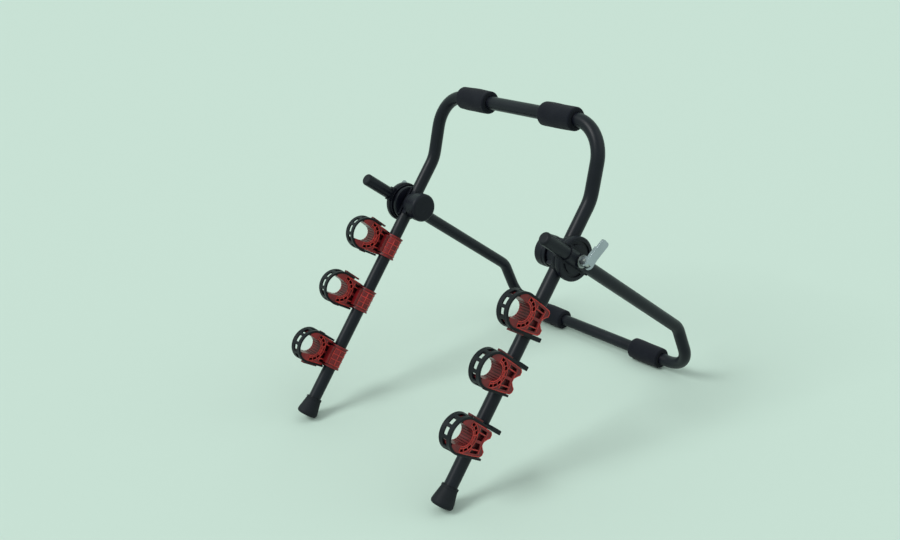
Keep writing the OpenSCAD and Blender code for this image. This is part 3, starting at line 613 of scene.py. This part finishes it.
def atCradle(uhv, faces, sideName, i):
    # (u, h, v) turned over where the hook is down, swung about the leg by the turn and moved to its place;
    # a piece that is mirrored once has the corners of its faces turned round
    side, at = sides[sideName], cradles[sideName]
    turn = math.radians(at["turn"][i])
    u, h, v = uhv[:, 0], uhv[:, 1] * (-1 if at["hook"][i] else 1), uhv[:, 2]
    c, s = math.cos(turn), math.sin(turn)
    x = side * (stand["legX"] + v * c + u * s)
    mirrored = (side > 0) == bool(at["hook"][i])
    return toRow(np.stack([x, v * s - u * c, at["z"][i] + h], -1)), faces[:, ::-1] if mirrored else faces


def makeStrap(sideName, i):
    # the strip's shell at its cradle, with small round edges
    uhv, cells = strapShell(strap["tail"][sideName][i], strap["end"][sideName][i])
    points, faces = atCradle(uhv, cells, sideName, i)
    name = "%s_strap_%d" % (sideName, i + 1)
    item = makeMesh(name + "_rubber", points, faces, materials["strap_rubber"])
    bevel = item.modifiers.new("edges", "BEVEL")
    bevel.width = strap["bevel"] / metre
    bevel.segments = strap["bevelSteps"]
    bevel.limit_method = "ANGLE"
    bevel.angle_limit = strap["bevelOver"]
    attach(item, "%s_cradle_%d_body" % (sideName, i + 1))
    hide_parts(name)


for sideName in sides:
    for i in range(cradles["perLeg"]):
        makeStrap(sideName, i)
print("straps made:", len(sides) * cradles["perLeg"])

# moulded ridges on the cradles, in the straps' (u, h, v) and in degrees
ridges = {
    "thick": 1.0, "sides": 8, "tip": 0.02,  # tip: what is left of the radius at a ridge's ends
    "away": (0.31, 0.22, 0.93),  # a direction that no ridge runs in
    "faces": (3.5, 31.5),  # v of the saddle's two side faces
    "rims": ((17.6, 88, 272), (21.2, 93, 267), (28.2, 95, 265)),  # radius about the seat, from and to
    "spokes": (94.5, 115.5, 137.5, 158.5, 180, 201.5, 222.5, 244.5, 265.5),
    "spokeFrom": 17.6, "spokeTo": 28.2,
    "back": (
        (10.3, 0.6), (10.3, 3.4), (4.4, 9.8), (-0.6, 13.3), (-0.6, 19), (3, 22.6), (20.5, 25.3), (38, 26.9),
        (50, 27.9),
    ),  # half of the saddle's outline, as (u, h)
    "braces": (
        ((11, 13.8), (31.4, 15.6)),
        ((35.6, 0.6), (35.4, 6), (32.5, 15.5), (33, 23)),
        ((11.2, 3.4), (9.8, 20.4)),
    ),
    "clipRadius": 17.3, "clipHeights": (-16.5, -5.5, 5.5, 16.5), "slitAt": 100, "slitHalf": 17,
    "uprights": (160, 200, 240), "uprightHalf": 20.5,
    "rimPoints": 40, "spokePoints": 5, "cornerPoints": 6, "ringPoints": 60, "uprightPoints": 6,
}


def bead(path):
    # a circle carried along a line of points, drawn in at both ends
    ahead = np.gradient(path, axis=0)
    ahead /= np.linalg.norm(ahead, axis=1, keepdims=True)
    across = np.cross(ahead, np.array(ridges["away"]))
    across /= np.linalg.norm(across, axis=1, keepdims=True)
    third = np.cross(ahead, across)
    turn = np.linspace(0, 2 * math.pi, ridges["sides"], endpoint=False)
    ring = np.cos(turn)[None, :, None] * across[:, None] + np.sin(turn)[None, :, None] * third[:, None]
    size = np.full(len(path), ridges["thick"])
    size[[0, -1]] = ridges["thick"] * ridges["tip"]
    return path[:, None] + ring * size[:, None, None], gridFaces(len(path), ridges["sides"], False, True)


def clearOfLeg(line):
    # only the points farther from the leg's axis than the clip, so that no side ridge runs into the leg
    return line[np.hypot(line[:, 0], line[:, 2]) > ridges["clipRadius"] + ridges["thick"]]


def sideLines(v):
    # arcs and spokes about the seat's axis, and the outline and braces, both also mirrored in h
    lines = []
    for radius, low, high in ridges["rims"]:
        a = np.radians(np.linspace(low, high, ridges["rimPoints"]))
        lines.append(asPoints(strap["seatU"] + radius * np.cos(a), radius * np.sin(a), v))
    for at in ridges["spokes"]:
        a, r = math.radians(at), np.linspace(ridges["spokeFrom"], ridges["spokeTo"], ridges["spokePoints"])
        lines.append(asPoints(strap["seatU"] + r * math.cos(a), r * math.sin(a), v))
    for corners in (ridges["back"], *ridges["braces"]):
        u, h = np.array(corners, float).T
        spread = np.linspace(0, len(u) - 1, ridges["cornerPoints"] * len(u))
        u, h = (np.interp(spread, np.arange(len(part)), part) for part in (u, h))
        lines += [asPoints(u, half * h, v) for half in (1, -1)]
    cleared = [clearOfLeg(line) for line in lines]
    return [line for line in cleared if len(line) > 2]  # fewer points make no ridge


def clipLines():
    # rings round the clip, open at its slit, and uprights across them, by sine and cosine about the leg
    start = ridges["slitAt"] + ridges["slitHalf"]
    a = np.radians(np.linspace(start, start + 360 - 2 * ridges["slitHalf"], ridges["ringPoints"]))
    radius = ridges["clipRadius"]
    rings = [asPoints(-np.sin(a) * radius, h, np.cos(a) * radius) for h in ridges["clipHeights"]]
    h = np.linspace(-ridges["uprightHalf"], ridges["uprightHalf"], ridges["uprightPoints"])
    angles = [math.radians(at) for at in ridges["uprights"]]
    return rings + [asPoints(-radius * math.sin(a), h, radius * math.cos(a)) for a in angles]


def makeRidges(sideName, i):
    # every line as a bead, joined in one mesh at its cradle
    points, faces, count = [], [], 0
    for line in [line for v in ridges["faces"] for line in sideLines(v)] + clipLines():
        tube, cells = bead(line)
        points.append(tube.reshape(-1, 3))
        faces.append(cells + count)
        count += len(points[-1])
    placed, turned = atCradle(np.concatenate(points), np.concatenate(faces), sideName, i)
    item = makeMesh("%s_cradle_%d_ridges" % (sideName, i + 1), placed, turned, materials["cradle_ridge_highlight"])
    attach(item, "%s_cradle_%d_body" % (sideName, i + 1))


for sideName in sides:
    for i in range(cradles["perLeg"]):
        makeRidges(sideName, i)
print("cradle ridges made")

# stage, in metres and degrees
stage = {
    "pale": colour(202, 227, 214), "floorSize": 60.0, "floorRough": 0.9, "floorSpecular": 0.0,
    "worldLight": 0.57, "worldTint": (0.995, 1.0, 1.0, 1.0),
    "keyPower": 1.35, "keyTurn": (38, 8, -28), "keyAngle": 26,
    "fillPower": 0.4, "fillTurn": (50, 0, 120), "fillAngle": 60,
}


def makeFloor():
    # a square pale sheet that keeps the shadow
    half = stage["floorSize"] / 2
    corners = np.array([[-half, -half, 0], [half, -half, 0], [half, half, 0], [-half, half, 0]], float)
    material = bpy.data.materials.new("stage_floor")
    material.use_nodes = True
    shader = material.node_tree.nodes["Principled BSDF"]
    shader.inputs["Base Color"].default_value = stage["pale"]
    shader.inputs["Roughness"].default_value = stage["floorRough"]
    shader.inputs["Specular IOR Level"].default_value = stage["floorSpecular"]
    floor = makeMesh("stage_floor", corners, np.array([[0, 1, 2, 3]]), material)


def makeWorld():
    # the camera, reflections and glass see the pale colour; everything else gets plain, nearly white light
    world = bpy.data.worlds.new("studio")
    bpy.context.scene.world = world
    world.use_nodes = True
    tree = world.node_tree
    tree.nodes.clear()
    rays = add(tree, "ShaderNodeLightPath").outputs
    shiny = mathNode(tree, "MAXIMUM", rays["Is Glossy Ray"], rays["Is Transmission Ray"])
    seen = mathNode(tree, "MAXIMUM", rays["Is Camera Ray"], shiny)
    light = add(tree, "ShaderNodeBackground", {"Color": stage["worldTint"], "Strength": stage["worldLight"]})
    shown = add(tree, "ShaderNodeBackground", {"Color": stage["pale"], "Strength": 1.0})
    mix = add(tree, "ShaderNodeMixShader", {0: seen, 1: light.outputs[0], 2: shown.outputs[0]})
    add(tree, "ShaderNodeOutputWorld", {"Surface": mix.outputs[0]})


def makeSun(name, power, turn, angle):
    # parallel light from far off, softened by the angle that it fills
    lamp = bpy.data.lights.new(name, "SUN")
    lamp.energy = power
    lamp.angle = math.radians(angle)
    item = bpy.data.objects.new(name, lamp)
    item.rotation_euler = [math.radians(v) for v in turn]
    bpy.context.scene.collection.objects.link(item)


# the photograph's viewpoint, worked out from the rack's lines and sizes; a small shift keeps its framing
view = {
    "spot": (1.4434, -1.0937, 1.0638), "turn": (65.165, 6.706, 51.748), "lens": 41.06, "sensor": 36,
    "shiftY": 0.03, "farthest": 200,
}


def makeCamera():
    # a lens in millimetres over a sensor in millimetres, placed in metres and turned in degrees
    lens = bpy.data.cameras.new("photo_view")
    lens.lens = view["lens"]
    lens.sensor_width = view["sensor"]
    lens.sensor_fit = "HORIZONTAL"
    lens.shift_y = view["shiftY"]
    lens.clip_end = view["farthest"]
    camera = bpy.data.objects.new("photo_view", lens)
    camera.location = view["spot"]
    camera.rotation_euler = [math.radians(v) for v in view["turn"]]
    bpy.context.scene.collection.objects.link(camera)
    bpy.context.scene.camera = camera


makeFloor()
makeWorld()
makeSun("key_sun", stage["keyPower"], stage["keyTurn"], stage["keyAngle"])
makeSun("fill_sun", stage["fillPower"], stage["fillTurn"], stage["fillAngle"])
makeCamera()
bpy.context.scene.view_settings.view_transform = "Standard"
print("stage and camera made")
